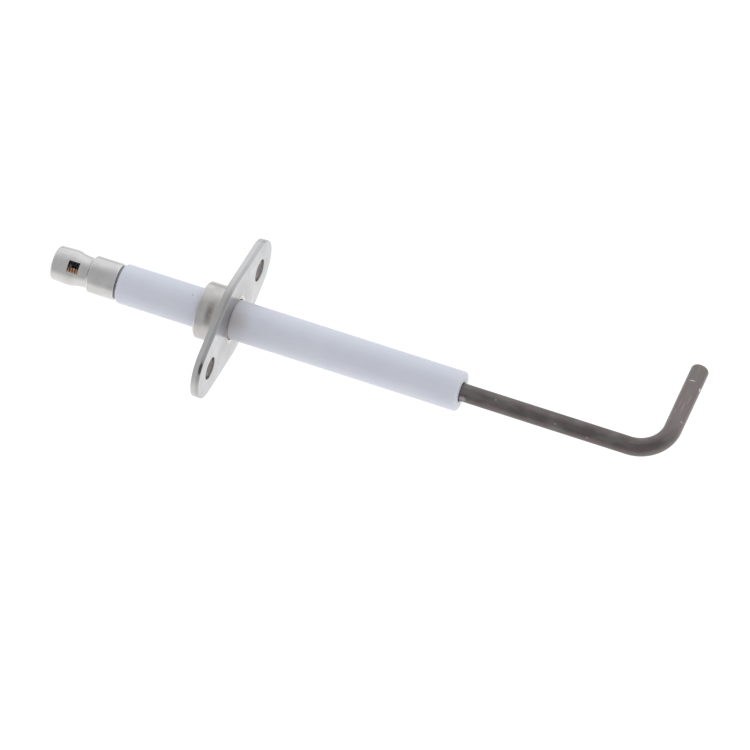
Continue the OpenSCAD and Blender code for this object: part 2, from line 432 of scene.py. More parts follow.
def alumina():
    """White fired alumina: satin, faintly mottled, with a few dark inclusions and rub marks, and painted
    shade by the flange.
    """
    material, tree, shader = new_material("alumina")
    place = in_millimetres(tree)
    along = put(tree, "ShaderNodeSeparateXYZ", {0: place}).outputs[0]
    mottle = use_group(tree, uneven, place, Patch_Size=5.0, Low=0.3, High=0.7)["Mask"]
    extruded = use_group(tree, drawn_lines, place, Line_Length=14.0, Line_Width=0.45, Low=0.42, High=0.66)
    inclusions = use_group(tree, specks, place, Spacing=3.1, Size=0.16, Share=0.10)["Mask"]
    iron_speck = use_group(tree, single_mark, place, Place=(-7.7, -0.2, 3.54),
                           Half_Size=(0.24, 0.13, 0.2), Softness=0.8)["Mask"]
    rubbed = use_group(tree, drawn_lines, stretched(tree, place, 1, 1, 1, 40.0),
                       Line_Length=2.6, Line_Width=0.5, Low=0.60, High=0.76)["Mask"]
    # Painted shadow: a brown-grey patch on the tube's side that faces the camera, just in front of the
    # flange.
    flange_shadow_patch = use_group(tree, single_mark, place, Place=(1.0, -2.1, 2.9), Half_Size=(3.0, 2.9, 2.9),
                       Softness=1.0, Raggedness=0.5)["Mask"]
    worn = use_group(tree, edge_wear, place, Raggedness=0.9)["Mask"]
    # Painted shade: a brownish ring round the tube just in front of the flange, where the flange shades it.
    shade_by_flange = near_ring(tree, along, -0.5, 5.5, 0.5, 0.30)
    rubbed_by_flange = maths(tree, "MULTIPLY", rubbed, near_ring(tree, along, 1.0, 7.5, 1.0))
    colour = blend(tree, mottle, alumina_white, alumina_bright)
    colour = laid_over(tree, colour, extruded["Mask"], 0.14, extrusion_grey)
    colour = blend(tree, shade_by_flange, colour, flange_shade_brown)
    colour = laid_over(tree, colour, flange_shadow_patch, 0.62, near_side_shadow_brown)
    colour = laid_over(tree, colour, rubbed_by_flange, 0.15, metal_rub)
    colour = laid_over(tree, colour, worn, 0.25, worn_white)
    colour = laid_over(tree, colour, maths(tree, "MAXIMUM", inclusions, iron_speck), 0.75, inclusion_black)
    grain = noise_of(tree, place, 9.0, 6.0, 0.7)
    height = raised(tree, maths(tree, "MULTIPLY", grain, 0.012), extruded["Height"], 0.03)
    finish_shader(tree, shader, colour, raised(tree, 0.34, mottle, 0.14), height)
    return material


tube_low, tube_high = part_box("insulator")
tube_r = tube_high.z
bore_r = 1.8 * mm
front_edge = 0.45 * mm
rear_edge = 0.7 * mm
bore_edge = 0.15 * mm
pocket_r = 2.3 * mm
pocket_depth = 5.0 * mm
tube_waviness = 0.012 * mm


def tube_wave(along):
    """Slow swell of the extruded diameter."""
    return tube_waviness * (noise.noise(Vector((along / (9 * mm), 3.1, 0))) - 0.6)


alumina_material = alumina()
tube_profile = (
    rounding(tube_low.x + rear_edge, tube_r - rear_edge, rear_edge, 180, 90)
    + run((tube_low.x + rear_edge + mm, tube_r), (tube_high.x - front_edge - mm, tube_r), 120, tube_wave)
    + rounding(tube_high.x - front_edge, tube_r - front_edge, front_edge, 90, 0)
    + rounding(tube_high.x - bore_edge, bore_r + bore_edge, bore_edge, 360, 270, steps=3)
    + [(tube_low.x + pocket_depth, bore_r, 0, 0), (tube_low.x + pocket_depth, pocket_r, 0, 0)]
    + [(tube_low.x + bore_edge, pocket_r, 0, 0), (tube_low.x, pocket_r + bore_edge, 0, 0)])
insulator = turned("alumina_tube", tube_profile, 128, [alumina_material], closed=True)
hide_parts("insulator")
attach(insulator, "root")


# ---------------------------------------------------------------- collar and its cement
# Turned steel ferrule, nickel plated over its tool marks. Its thin spigot goes through the
# flange and is rolled over on the front. Grey refractory cement bonds it to the tube.

plate_haze = (0.60, 0.57, 0.53, 1)
worn_plate = (0.83, 0.82, 0.80, 1)
torn_steel = (0.71, 0.70, 0.69, 1)
burnished_steel = (0.41, 0.40, 0.39, 1)
darkening_brown = (0.27, 0.225, 0.195, 1)
pit_brown = (0.36, 0.33, 0.30, 1)
turned_dull = (0.565, 0.545, 0.525, 1)
turned_bright = (0.66, 0.645, 0.63, 1)
cement_dark = (0.30, 0.275, 0.25, 1)
cement_pale = (0.46, 0.43, 0.39, 1)
cement_grain = (0.17, 0.155, 0.14, 1)


def plated_steel(name, dull, bright, relief_of, spot_and_shade_of=None):
    """Nickel plate: satin, over the relief, darkened where the mesh stores it, with any extra marks and
    painted shade laid on.
    """
    material, tree, shader = new_material(name, Metallic=1.0)
    place = in_millimetres(tree)
    patches = use_group(tree, uneven, place, Patch_Size=2.4, Low=0.3, High=0.7)["Mask"]
    haze = use_group(tree, uneven, place, Patch_Size=0.7, Low=0.35, High=0.75, Shift=9.0)["Mask"]
    pits = use_group(tree, specks, place, Spacing=0.8, Size=0.07, Share=0.22)["Mask"]
    worn = use_group(tree, edge_wear, place, Raggedness=0.5)["Mask"]
    torn = stored(tree, "torn")
    burnished = stored(tree, "burnished")
    # The stored darkening is painted shade on the collar, and darker walls in the flange's holes.
    mottled_darkening = maths(tree, "MULTIPLY", stored(tree, "darkened"),
                            spread(tree, noise_of(tree, place, 1.6), 0.15, 0.5))
    colour = blend(tree, patches, dull, bright)
    colour = laid_over(tree, colour, haze, 0.18, plate_haze)
    colour = laid_over(tree, colour, worn, 0.4, worn_plate)
    colour = laid_over(tree, colour, torn, 0.8, torn_steel)
    colour = laid_over(tree, colour, burnished, 0.85, burnished_steel)
    if spot_and_shade_of:
        colour = spot_and_shade_of(tree, place, colour, maths(tree, "MAXIMUM", torn, burnished))
    colour = blend(tree, mottled_darkening, colour, darkening_brown)
    colour = laid_over(tree, colour, pits, 0.3, pit_brown)
    roughness = raised(tree, 0.20, haze, 0.07)
    roughness = raised(tree, roughness, mottled_darkening, 0.25)
    roughness = raised(tree, roughness, torn, 0.16)
    roughness = raised(tree, roughness, worn, -0.06)
    height = raised(tree, relief_of(tree, place), noise_of(tree, place, 12.0, 3.0, 0.6), 0.0010)
    height = raised(tree, height, pits, -0.004)
    finish_shader(tree, shader, colour, roughness, height, strength=0.6)
    return material


def along_noise(tree, place, scale, roughness):
    """A noise that changes only along the axis, as turning marks do."""
    along = put(tree, "ShaderNodeSeparateXYZ", {0: place}).outputs[0]
    ring_place = put(tree, "ShaderNodeCombineXYZ", {0: along}).outputs[0]
    return noise_of(tree, ring_place, scale, 3.0, roughness)


def turned_relief(tree, place):
    """Bump height of the finest tool rings."""
    return maths(tree, "MULTIPLY", along_noise(tree, place, 7.0, 0.6), 0.004)


def cement():
    """Cast refractory cement: matt, gritty, pale grey-brown with darker grains."""
    material, tree, shader = new_material("cement", Roughness=0.92)
    place = in_millimetres(tree)
    patches = use_group(tree, uneven, place, Patch_Size=0.5, Low=0.3, High=0.7)["Mask"]
    grains = use_group(tree, specks, place, Spacing=0.16, Size=0.07, Share=0.4)["Mask"]
    colour = blend(tree, patches, cement_dark, cement_pale)
    colour = blend(tree, grains, colour, cement_grain)
    grit = noise_of(tree, place, 16.0, 5.0, 0.7)
    finish_shader(tree, shader, colour, height=grit, strength=0.8, distance=0.05 * mm)
    return material


def mark_vertices(piece, name, value_at):
    """Stores value_at(position) on the vertices, as a mask that a material reads."""
    layer = piece.data.attributes.get(name) or piece.data.attributes.new(name, "FLOAT", "POINT")
    for i, vertex in enumerate(piece.data.vertices):
        layer.data[i].value = value_at(vertex.co)


collar_low, collar_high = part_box("collar")
plate_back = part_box("flange_plate")[0].x
collar_r = collar_high.z
collar_edge = 0.4 * mm
collar_bore_r = tube_r + 0.15 * mm
mouth_flare = 0.25 * mm
mouth_depth = 0.3 * mm
spigot_r = 4.05 * mm
spigot_end = -0.2 * mm
lip_r = 4.25 * mm
lip_round = 0.08 * mm
lip_top = collar_high.x
shade_middle = plate_back - 2.0 * mm
shade_half = 0.80 * mm
ring_pitch = 0.16 * mm
ring_depth = 0.004 * mm


def tool_rings(along):
    """Cusps that the turning tool leaves, some deeper than others."""
    cusp = abs(math.sin(math.pi * along / ring_pitch))
    uneven_cut = 0.5 + noise.noise(Vector((along / (0.3 * mm), 7.7, 0)))
    return -ring_depth * cusp * uneven_cut


turned_nickel = plated_steel("turned_nickel", turned_dull, turned_bright, turned_relief)
cement_material = cement()
collar_profile = (
    [(collar_low.x, collar_bore_r + mouth_flare, 0.6, 0)]
    + rounding(collar_low.x + collar_edge, collar_r - collar_edge, collar_edge, 180, 90)
    + run((collar_low.x + collar_edge + 0.02 * mm, collar_r), (plate_back, collar_r), 200, tool_rings)
    + [(plate_back, spigot_r, 0, 0), (spigot_end, spigot_r, 0, 0)]
    + rounding(lip_top - lip_round, lip_r - lip_round, lip_round, 110, 0, steps=7)
    + [(lip_top, (lip_r + collar_bore_r) / 2, 0, 0)]
    + rounding(lip_top - lip_round, collar_bore_r + lip_round, lip_round, 360, 270, edge=0.6, steps=5)
    + [(0, collar_bore_r, 0, 0), (collar_low.x + mouth_depth, collar_bore_r, 0, 0)])
collar = turned("turned_collar", collar_profile, 160, [turned_nickel], closed=True)

# The tool that rolls the lip over leaves it a little uneven round the tube.
lip_wobble = 0.035 * mm
for vertex in collar.data.vertices:
    angle = math.atan2(vertex.co.z, vertex.co.y)
    rolled = max(0.0, min(1.0, vertex.co.x / lip_top))
    wander = noise.noise(Vector((math.cos(angle) * 1.6, math.sin(angle) * 1.6, 5.0)))
    vertex.co.x -= rolled * lip_wobble * (1 + wander) * 0.8
    vertex.co.yz *= 1 + rolled * lip_wobble * wander / lip_r

# Painted shade and reflection: the collar's band behind the flange and its rolled lip are darkened on the
# side that faces the camera.
shade_turn = math.radians(128)
shade_spread = math.radians(29)
lip_shade = 0.75
side_shade = 0.78


def collar_painted_shade(co):
    """Painted shade and reflection: brown on the collar's side that faces the camera, and on that side of the
    rolled lip.
    """
    turn = math.atan2(co.z, co.y) - shade_turn
    if co.x > 0:
        return lip_shade * max(0.0, math.cos(turn))
    band = max(0.0, 1 - (abs(co.x - shade_middle) / shade_half) ** 2)
    return side_shade * band * max(0.0, 1 - (turn / shade_spread) ** 2)


mark_vertices(collar, "darkened", collar_painted_shade)
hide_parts("collar")
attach(collar, "root")


def cement_ring(name, node, inner, outer, sides=72):
    """A cast ring between two round walls, with rough ends."""
    low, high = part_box(node)
    steps = 3
    widths = [(outer - inner) * i / steps for i in range(steps + 1)]
    profile = [(low.x, inner + width, 0, 0) for width in widths]
    profile += [(high.x, outer - width, 0, 0) for width in widths]
    ring = turned(name, profile, sides, [cement_material], closed=True)
    lump_depth = 0.12 * mm
    for vertex in ring.data.vertices:
        inward = 1 if vertex.co.x < (low.x + high.x) / 2 else -1
        lump = 0.5 + 0.5 * noise.noise(vertex.co * 2300)
        vertex.co.x += inward * lump_depth * lump
    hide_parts(node)
    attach(ring, "root")


cement_ring("collar_bond", "collar_cement", tube_r, collar_bore_r)


# ---------------------------------------------------------------- flange
# Oval flange blanked and pierced from steel sheet, then nickel plated. The front edge is
# drawn in by the punch, below it the cut is burnished, and the rear half is torn rough.

sheet_dull = (0.55, 0.55, 0.557, 1)
sheet_bright = (0.62, 0.625, 0.637, 1)
edge_dark_spot = (0.10, 0.095, 0.095, 1)
face_shade_brown = (0.30, 0.275, 0.25, 1)
brush_slant = math.radians(-52)
hole_pitch = 22.2 * mm
hole_r = 2.0 * mm
hole_roll = 0.16 * mm
hole_sink = 0.12 * mm
hole_darkening = 0.48
spigot_hole_r = lip_r - 0.12 * mm
mid_r = 8.2 * mm
end_r = 5.4 * mm
plate_front = 0.0
edge_roll = 0.13 * mm
edge_sink = 0.09 * mm
burnished_to = -0.60 * mm
tear_depth = 0.035 * mm
torn_grain = 0.010 * mm
ragged_band = 0.2 * mm
rag_height = 0.04 * mm
rear_bevel = 0.06 * mm
darkened_from = -0.12 * mm
burnish_middle = -3.0 * mm
burnish_fade = 0.75
dull_middle = -4.5 * mm
dull_reach = 10.0 * mm
dull_depth = 0.75
plate_reach = hole_pitch / 2 + end_r
side_angle = math.acos((mid_r - end_r) / (hole_pitch / 2))


def off_axis(tree, place):
    """Distance from the probe's axis."""
    split = put(tree, "ShaderNodeSeparateXYZ", {0: place})
    across = put(tree, "ShaderNodeCombineXYZ", {1: split.outputs[1], 2: split.outputs[2]}).outputs[0]
    return put(tree, "ShaderNodeVectorMath", {0: across}, operation="LENGTH").outputs["Value"]


def sheet_relief(tree, place):
    """Bump height of slanted brushing, and of rings from the tool that rolls the lip over."""
    slanted = put(tree, "ShaderNodeVectorRotate", {"Vector": place, "Angle": brush_slant},
                  rotation_type="X_AXIS").outputs[0]
    lengthwise = put(tree, "ShaderNodeVectorRotate", {"Vector": slanted, "Angle": math.radians(90)},
                     rotation_type="Z_AXIS").outputs[0]
    brushed = use_group(tree, drawn_lines, lengthwise, Line_Length=9.0, Line_Width=0.16, Low=0.45, High=0.7)
    from_axis = off_axis(tree, place)
    rings = maths(tree, "SINE", maths(tree, "MULTIPLY", from_axis, 18.0))
    rolled = maths(tree, "MULTIPLY", spread(tree, from_axis, 5.35, 5.0), rings)
    return raised(tree, maths(tree, "MULTIPLY", brushed["Height"], 0.0022), rolled, 0.006)


def sheet_spot_and_shade(tree, place, colour, on_edge):
    """A dark spot on the cut edge near one hole, and painted shade and reflection on the face round the lip.
    """
    # A dark spot on the cut edge near one hole.
    dark_spot = use_group(tree, single_mark, place, Place=(-0.28, -14.35, 4.08), Half_Size=(0.40, 1.60, 1.3),
                     Softness=0.5, Raggedness=0.5)["Mask"]
    cut_edge = maths(tree, "MINIMUM", 1.0, maths(tree, "MULTIPLY", 2.0, on_edge))
    colour = blend(tree, maths(tree, "MULTIPLY", dark_spot, cut_edge), colour, edge_dark_spot)
    # Painted shade and reflection: the face is darkened round the lip, towards the axis.
    return laid_over(tree, colour, spread(tree, off_axis(tree, place), 9.0, 4.6), 0.36, face_shade_brown)


def oval_outline(grow):
    """Points of the oval, moved outward by grow: two end arcs, two middle arcs, four flats."""
    points = []
    for centre, radius, start, end, steps in (
            (hole_pitch / 2, end_r, -side_angle, side_angle, 48),
            (0.0, mid_r, side_angle, math.pi - side_angle, 14),
            (-hole_pitch / 2, end_r, math.pi - side_angle, math.pi + side_angle, 48),
            (0.0, mid_r, math.pi + side_angle, 2 * math.pi - side_angle, 14)):
        for i in range(steps + 1):
            angle = start + (end - start) * i / steps
            points.append(((radius + grow) * math.cos(angle) + centre, (radius + grow) * math.sin(angle)))
    widest_gap = 0.35 * mm
    filled = []
    for first, second in zip(points, points[1:] + points[:1]):
        gap = math.dist(first, second)
        pieces = max(1, round(gap / widest_gap))
        for i in range(pieces):
            t = i / pieces
            filled.append((first[0] + (second[0] - first[0]) * t, first[1] + (second[1] - first[1]) * t))
    return filled


def round_outline(centre, radius, count):
    """Points of a round hole."""
    return [(centre + radius * math.cos(2 * math.pi * i / count), radius * math.sin(2 * math.pi * i / count))
            for i in range(count)]


def cut_edge_rows(roll, sink):
    """Rows down a punched edge: (along, distance inward, edge mark, burnished, torn).

    The punch draws the front corner in by roll and down by sink.
    """
    rows = [(plate_front, roll, 0.0, 0.0, 0.0)]
    for i in range(1, 7):
        angle = math.radians(15 * i)
        rows.append((plate_front - sink * (1 - math.cos(angle)), roll * (1 - math.sin(angle)), 0.2, 0.4, 0.0))
    rows.append((plate_front - sink - 0.03 * mm, 0.0, 0.0, 1.0, 0.0))
    for i in range(1, 4):
        rows.append((plate_front - sink + (burnished_to + sink) * i / 3, 0.0, 0.0, 1.0, 0.0))
    torn_rows = 8
    for i in range(1, torn_rows + 1):
        t = i / torn_rows
        along = burnished_to + (plate_back + rear_bevel - burnished_to) * t
        rows.append((along, tear_depth * (0.35 + 0.65 * t), 0.0, 0.0, 1.0))
    rows.append((plate_back, tear_depth + 0.05 * mm, 0.7, 0.0, 0.6))
    return rows


def shine_at(y):
    """How far the burnished band shows: most near the middle, fading to both ends."""
    return 1 - burnish_fade * min(1.0, abs(y - burnish_middle) / plate_reach)


def dull_at(y):
    """How far the torn part is darkened: most a little to one side of the axis, fading to none further along.
    """
    return dull_depth * max(0.0, 1 - abs(y - dull_middle) / dull_reach)


plate = bmesh.new()
edge_mark = plate.verts.layers.float.new("edge")
tear_mark = plate.verts.layers.float.new("torn")
burnished_mark = plate.verts.layers.float.new("burnished")
darkened_mark = plate.verts.layers.float.new("darkened")


def punched_wall(outline_at, rows, darkened):
    """Skins one cut edge, darkened below its mouth by the given amount; returns its front and rear rings of
    points.
    """
    loops = []
    for along, inward, edge, burnished, torn in rows:
        loop = []
        for y, z in outline_at(inward):
            vertex = plate.verts.new((along, y, z))
            vertex[edge_mark] = edge
            vertex[tear_mark] = torn
            vertex[burnished_mark] = burnished * shine_at(y) if burnished else torn * dull_at(y)
            vertex[darkened_mark] = darkened if along < darkened_from else 0.0
            if torn and along > plate_back:
                rough = noise.noise(Vector((along * 1800, y * 4200, z * 4200)))
                rag = noise.noise(Vector((0.5, y * 1100, z * 1100)))
                if along > burnished_to - ragged_band:
                    vertex.co.x += rag_height * rag
                centre_y = math.copysign(hole_pitch / 2, y) if darkened else 0.0
                outward = Vector((0, y - centre_y, z)).normalized()
                vertex.co += outward * torn_grain * rough
            loop.append(vertex)
        loops.append(loop)
    for first, second in zip(loops, loops[1:]):
        count = len(first)
        for i in range(count):
            j = (i + 1) % count
            face = plate.faces.new([first[i], first[j], second[j], second[i]])
            face.smooth = True
    return loops[0], loops[-1]


hole_rows = cut_edge_rows(hole_roll, hole_sink)
bore_rows = [(plate_front, 0.0, 0.0, 0.0, 0.0), (plate_back, 0.0, 0.0, 0.0, 0.0)]
walls = [punched_wall(lambda inward: oval_outline(-inward), cut_edge_rows(edge_roll, edge_sink), 0.0)]
for side in (-1, 1):
    centre = side * hole_pitch / 2
    walls.append(punched_wall(lambda inward: round_outline(centre, hole_r + inward, 72), hole_rows,
                              hole_darkening))
walls.append(punched_wall(lambda inward: round_outline(0.0, spigot_hole_r + inward, 96), bore_rows, 0.0))

for end in (0, 1):
    rim_edges = []
    for wall in walls:
        loop = wall[end]
        for i in range(len(loop)):
            edge = plate.edges.get((loop[i], loop[(i + 1) % len(loop)]))
            edge.smooth = False
            rim_edges.append(edge)
    bmesh.ops.triangle_fill(plate, edges=rim_edges, use_beauty=True)
bmesh.ops.recalc_face_normals(plate, faces=plate.faces)
sheet_nickel = plated_steel("sheet_nickel", sheet_dull, sheet_bright, sheet_relief, sheet_spot_and_shade)
flange = finish_mesh("flange_sheet", plate, [sheet_nickel])
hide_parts("flange_plate")
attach(flange, "root")


# ---------------------------------------------------------------- sensing rod
# Drawn wire of an iron-chromium-aluminium alloy, with a brown-grey oxide from heating and
# pale marks from the bending tool. Its rear end is a rolled M3 thread inside the terminal.

rod_low, rod_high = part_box("sensing_rod")
rod_r = -rod_low.z
reach = rod_high.x - rod_r
bend_r = 5.8 * mm
tip_edge = 0.7 * mm
stud_x = tube_low.x + pocket_depth
straight_step = 0.8 * mm
wire_sides = 64
die_line_depth = 0.006 * mm
bend_steps = 32
tip_steps = 8


def rod_stations():
    """Places along the rod: (point, size of the section against the full one)."""
    stations = []
    bend_x = reach - bend_r
    count = round((bend_x - stud_x) / straight_step)
    for i in range(count + 1):
        stations.append(((stud_x + (bend_x - stud_x) * i / count, 0.0, 0.0), 1.0))
    for i in range(1, bend_steps + 1):
        angle = math.radians(90 * i / bend_steps)
        stations.append(((bend_x + bend_r * math.sin(angle), bend_r * (1 - math.cos(angle)), 0.0), 1.0))
    leg_end = rod_high.y - tip_edge
    count = round((leg_end - bend_r) / straight_step)
    for i in range(1, count + 1):
        stations.append(((reach, bend_r + (leg_end - bend_r) * i / count, 0.0), 1.0))
    for i in range(1, tip_steps + 1):
        angle = math.radians(90 * i / tip_steps)
        size = 1 - tip_edge / rod_r * (1 - math.cos(angle))
        stations.append(((reach, leg_end + tip_edge * math.sin(angle), 0.0), size))
    return stations


def geometry_tree(name, inputs):
    """A Geometry Nodes tree with named inputs {name: (kind, value)}; returns it and its sockets."""
    tree = bpy.data.node_groups.new(name, "GeometryNodeTree")
    tree.interface.new_socket("Geometry", in_out="INPUT", socket_type="NodeSocketGeometry")
    tree.interface.new_socket("Geometry", in_out="OUTPUT", socket_type="NodeSocketGeometry")
    for label, (kind, value) in inputs.items():
        socket = tree.interface.new_socket(label, in_out="INPUT", socket_type="NodeSocket" + kind)
        if value is not None:
            socket.default_value = value
    return tree, tree.nodes.new("NodeGroupInput").outputs, tree.nodes.new("NodeGroupOutput").inputs


def grow_mesh(name, source, tree, values):
    """Runs a tree on an object with the given input values and returns a plain mesh object."""
    modifier = source.modifiers.new(name, "NODES")
    modifier.node_group = tree
    for item in tree.interface.items_tree:
        if item.item_type == "SOCKET" and item.in_out == "INPUT" and item.name in values:
            modifier[item.identifier] = values[item.name]
    depsgraph = bpy.context.evaluated_depsgraph_get()
    mesh = bpy.data.meshes.new_from_object(source.evaluated_get(depsgraph), depsgraph=depsgraph)
    mesh.name = name
    bpy.data.objects.remove(source)
    piece = bpy.data.objects.new(name, mesh)
    bpy.context.scene.collection.objects.link(piece)
    return piece


# Sweep: a round section with shallow die lines follows the rod's centre line. It stores the
# distance along the rod and the place in the section, so that finishes can follow the bend.
sweep, given, result = geometry_tree("drawn_wire", {
    "Wire Radius": ("Float", 1.6 * mm), "Sides": ("Int", 64), "Die Line Depth": ("Float", 0.004 * mm),
    "Material": ("Material", None)})
path_length = sweep.nodes.new("GeometryNodeSplineParameter").outputs["Length"]
measured = put(sweep, "GeometryNodeStoreNamedAttribute",
               {"Geometry": given["Geometry"], "Name": "along", "Value": path_length},
               data_type="FLOAT", domain="POINT")
section = put(sweep, "GeometryNodeCurvePrimitiveCircle",
              {"Resolution": given["Sides"], "Radius": given["Wire Radius"]}, mode="RADIUS")
section_place = sweep.nodes.new("GeometryNodeInputPosition").outputs[0]
marked_section = put(sweep, "GeometryNodeStoreNamedAttribute",
                     {"Geometry": section.outputs["Curve"], "Name": "section", "Value": section_place},
                     data_type="FLOAT_VECTOR", domain="POINT")
swept = put(sweep, "GeometryNodeCurveToMesh",
            {"Curve": measured.outputs[0], "Profile Curve": marked_section.outputs[0], "Fill Caps": True})
if "Scale" in swept.inputs:
    sweep.links.new(sweep.nodes.new("GeometryNodeInputRadius").outputs[0], swept.inputs["Scale"])
section_read = put(sweep, "GeometryNodeInputNamedAttribute", {"Name": "section"},
                   data_type="FLOAT_VECTOR").outputs["Attribute"]
die_line = put(sweep, "ShaderNodeTexNoise",
               {"Vector": section_read, "Scale": 2600.0, "Detail": 2.0}).outputs[0]
line_cut = maths(sweep, "MULTIPLY", maths(sweep, "MULTIPLY", die_line, given["Die Line Depth"]), -1.0)
outward = sweep.nodes.new("GeometryNodeInputNormal").outputs[0]
cut_in = put(sweep, "ShaderNodeVectorMath", {0: outward, "Scale": line_cut}, operation="SCALE").outputs[0]
lined = put(sweep, "GeometryNodeSetPosition", {"Geometry": swept.outputs[0], "Offset": cut_in})
smooth = put(sweep, "GeometryNodeSetShadeSmooth", {"Geometry": lined.outputs[0], "Shade Smooth": True})
real = put(sweep, "GeometryNodeRealizeInstances", {"Geometry": smooth.outputs[0]})
painted = put(sweep, "GeometryNodeSetMaterial", {"Geometry": real.outputs[0], "Material": given["Material"]})
sweep.links.new(painted.outputs[0], result["Geometry"])


oxide_dark = (0.138, 0.120, 0.117, 1)
oxide_pale = (0.200, 0.184, 0.176, 1)
oxide_violet = (0.165, 0.118, 0.124, 1)
leg_oxide_and_light = (0.315, 0.262, 0.258, 1)
tip_oxide = (0.24, 0.225, 0.205, 1)
die_line_grey = (0.25, 0.235, 0.23, 1)
rub_brown = (0.50, 0.42, 0.41, 1)
fleck_tan = (0.40, 0.37, 0.33, 1)
spot_tan = (0.48, 0.45, 0.40, 1)
fine_scratch = (0.62, 0.50, 0.48, 1)
bare_scratch = (0.80, 0.70, 0.66, 1)
end_face_reflection = (0.62, 0.58, 0.56, 1)


def oxidised_alloy():
    """Oxide on drawn alloy wire: brown-grey, purplish in places, paler where it is rubbed, with painted light
    on the bent leg and a painted reflection by the tube.
    """
    material, tree, shader = new_material("oxidised_alloy")
    section = put(tree, "ShaderNodeAttribute", attribute_name="section").outputs["Vector"]
    split = put(tree, "ShaderNodeSeparateXYZ", {0: section})
    straight = put(tree, "ShaderNodeCombineXYZ",
                   {0: stored(tree, "along"), 1: split.outputs[0], 2: split.outputs[1]}).outputs[0]
    place = in_millimetres(tree, straight)
    distance = put(tree, "ShaderNodeSeparateXYZ", {0: place}).outputs[0]
    clouds = use_group(tree, uneven, stretched(tree, place, 0.45, 1, 1),
                       Patch_Size=1.8, Low=0.36, High=0.64)["Mask"]
    violet = use_group(tree, uneven, stretched(tree, place, 0.35, 1, 1),
                       Patch_Size=1.3, Low=0.45, High=0.62, Shift=21.0)["Mask"]
    die_lines = use_group(tree, drawn_lines, place, Line_Length=16.0, Line_Width=0.12, Low=0.48, High=0.68)
    rubs = use_group(tree, drawn_lines, stretched(tree, place, 1, 1, 1, 60.0),
                     Line_Length=2.4, Line_Width=0.16, Low=0.62, High=0.72)["Mask"]
    flecks = use_group(tree, specks, stretched(tree, place, 0.7, 1, 1),
                       Spacing=2.1, Size=0.2, Share=0.09)["Mask"]
    on_leg = spread(tree, distance, 92.0, 100.0)
    near_tip = spread(tree, distance, 104.0, 108.0)
    solid_place = in_millimetres(tree)

    def marks(*marks_here):
        """The joined mask of single marks: (place, half size, raggedness) each."""
        joined = 0.0
        for centre, size, raggedness in marks_here:
            one = use_group(tree, single_mark, solid_place, Place=centre, Half_Size=size,
                            Softness=0.5, Raggedness=raggedness)["Mask"]
            joined = maths(tree, "MAXIMUM", one, joined)
        return joined

    scratches = marks(((77.75, 15.45, 1.75), (0.95, 0.13, 0.6), 0.35),
                      ((79.55, 14.75, 0.55), (0.26, 0.42, 0.5), 0.6),
                      ((79.2, 7.0, 1.15), (0.34, 0.10, 0.5), 0.5))
    long_scratches = marks(((78.3, 9.6, 1.6), (0.10, 1.9, 0.4), 0.9),
                           ((78.75, 11.6, 1.45), (0.09, 1.5, 0.4), 0.9),
                           ((77.6, 10.4, 1.55), (0.08, 1.2, 0.4), 0.9))
    spots = marks(((77.0, 6.9, 1.26), (0.22, 0.20, 0.3), 0.6), ((48.2, -0.44, 1.54), (0.24, 0.2, 0.2), 0.6),
                  ((59.3, -1.15, 1.11), (0.26, 0.18, 0.2), 0.6), ((65.2, -1.48, 0.6), (0.22, 0.18, 0.2), 0.6))
    # Painted reflection: a pale, less metallic patch on the rod just past the tube's mouth, where it mirrors
    # the tube's white end face.
    end_face_glare = marks(((42.4, -1.55, 0.3), (0.8, 0.55, 0.6), 0.9))
    colour = blend(tree, clouds, oxide_dark, oxide_pale)
    colour = laid_over(tree, colour, violet, 0.6, oxide_violet)
    # The bent leg is painted paler: partly its own oxide, partly painted light for the way it faces the
    # bright back of the room.
    colour = laid_over(tree, colour, on_leg, 0.62, leg_oxide_and_light)
    colour = laid_over(tree, colour, near_tip, 0.5, tip_oxide)
    colour = laid_over(tree, colour, die_lines["Mask"], 0.2, die_line_grey)
    colour = laid_over(tree, colour, rubs, raised(tree, 0.08, on_leg, 0.4), rub_brown)
    colour = laid_over(tree, colour, flecks, 0.35, fleck_tan)
    colour = laid_over(tree, colour, spots, 0.6, spot_tan)
    colour = laid_over(tree, colour, long_scratches, 0.32, fine_scratch)
    colour = laid_over(tree, colour, scratches, 0.85, bare_scratch)
    colour = laid_over(tree, colour, end_face_glare, 0.6, end_face_reflection)
    tree.links.new(raised(tree, 0.85, end_face_glare, -0.8), shader.inputs["Metallic"])
    roughness = raised(tree, raised(tree, 0.27, clouds, 0.10), end_face_glare, 0.3)
    scale_grain = noise_of(tree, place, 9.0, 5.0, 0.65)
    height = raised(tree, maths(tree, "MULTIPLY", die_lines["Height"], 0.006), scale_grain, 0.005)
    finish_shader(tree, shader, colour, roughness, height, strength=0.6)
    return material


alloy = oxidised_alloy()
centre_line = bpy.data.curves.new("rod_centre_line", "CURVE")
centre_line.dimensions = "3D"
spline = centre_line.splines.new("POLY")
stations = rod_stations()
spline.points.add(len(stations) - 1)
for point, (place, size) in zip(spline.points, stations):
    point.co = (*place, 1)
    point.radius = size
line_object = bpy.data.objects.new("rod_centre_line", centre_line)
bpy.context.scene.collection.objects.link(line_object)
rod = grow_mesh("alloy_rod", line_object, sweep,
                {"Wire Radius": rod_r, "Sides": wire_sides, "Die Line Depth": die_line_depth,
                 "Material": alloy})
rod.data.set_sharp_from_angle(angle=math.radians(40))

